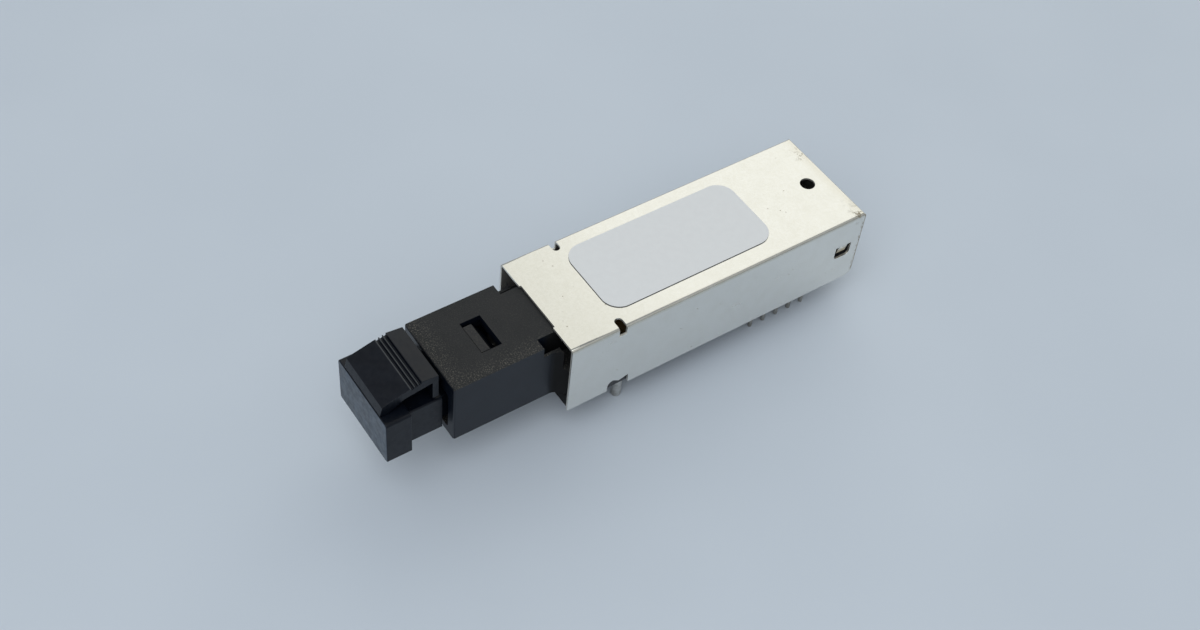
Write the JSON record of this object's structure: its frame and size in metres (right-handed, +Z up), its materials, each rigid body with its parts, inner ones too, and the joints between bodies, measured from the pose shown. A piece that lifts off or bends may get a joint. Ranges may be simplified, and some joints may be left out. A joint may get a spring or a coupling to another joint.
{
  "type": "optical transceiver module",
  "caption": "Board-mounted duplex fibre transceiver: plated sheet-metal cover, black moulded port with a process plug and sprung latch, two solder posts and two rows of pins.",
  "frame": {"origin": "midway between the two solder posts, on the plane of the host board's face", "axes": "+Y from the fibre port to the rear along the module's length, +Z up away from the board, +X to the right of someone facing the port"},
  "size_m": [0.0132, 0.0568, 0.0146],
  "materials": {
    "plated_sheet": "bright tin plate, satin on top and mirror-like on the sides",
    "label_film": "satin grey film",
    "black_moulding": "fine-grained black filled plastic",
    "carrier_moulding": "black filled plastic",
    "plug_moulding": "satin black plastic",
    "post_plating": "dull tin plate",
    "pin_plating": "tin plate",
    "solder": "bright solder",
    "board_laminate": "solder mask",
    "chip_package": "moulded epoxy",
    "shield_sheet": "tin plate",
    "capacitor_ceramic": "fired ceramic",
    "resistor_body": "glazed",
    "tantalum_body": "moulded epoxy",
    "ferrite": "pressed ferrite",
    "ferrule_moulding": "glass-filled plastic",
    "polished_steel": "polished steel",
    "spring_sheet": "spring steel",
    "fibre_glass": "clear",
    "lens_glass": "clear",
    "barrel_moulding": "amber-brown plastic",
    "gold_header": "gold plate",
    "lead_wire": "gold plate"
  },
  "bodies": {
    "module": {"metal_cover": "plated_sheet", "label": "label_film", "port_housing": "black_moulding", "base_carrier": "carrier_moulding", "solder_posts": "post_plating", "signal_pins": "pin_plating", "pin_solder_joints": "solder", "circuit_board": "board_laminate", "driver_ic": "chip_package", "quantizer_ic": "chip_package", "receiver_shield": "shield_sheet", "chip_capacitors": "capacitor_ceramic", "chip_resistors": "resistor_body", "bypass_capacitors": "tantalum_body", "filter_inductors": "ferrite", "ferrule_block": "ferrule_moulding", "guide_pins": "polished_steel", "ferrule_retainer": "spring_sheet", "fibre_stubs": "fibre_glass", "emitter_housing": "barrel_moulding", "detector_housing": "barrel_moulding", "light_emitter": "gold_header", "photodiode": "gold_header", "emitter_leads": "lead_wire", "detector_leads": "lead_wire", "coupling_lenses": "lens_glass"},
    "process_plug": {"plug_body": "plug_moulding"},
    "plug_latch": {"plug_latch_arm": "plug_moulding"}
  },
  "joints": [
    {"name": "plug_pull", "type": "slide", "parent": "module", "child": "process_plug", "axis": [0, -1, 0], "range_m": [0, 0.015], "deforming": ["plug_latch_arm"]},
    {"name": "latch_press", "type": "hinge", "parent": "process_plug", "child": "plug_latch", "pos_m": [0, -0.02625, 0.00846], "axis": [-1, 0, 0], "range_deg": [0, 4], "stiffness_Nm_per_rad": 0.02}
  ]
}
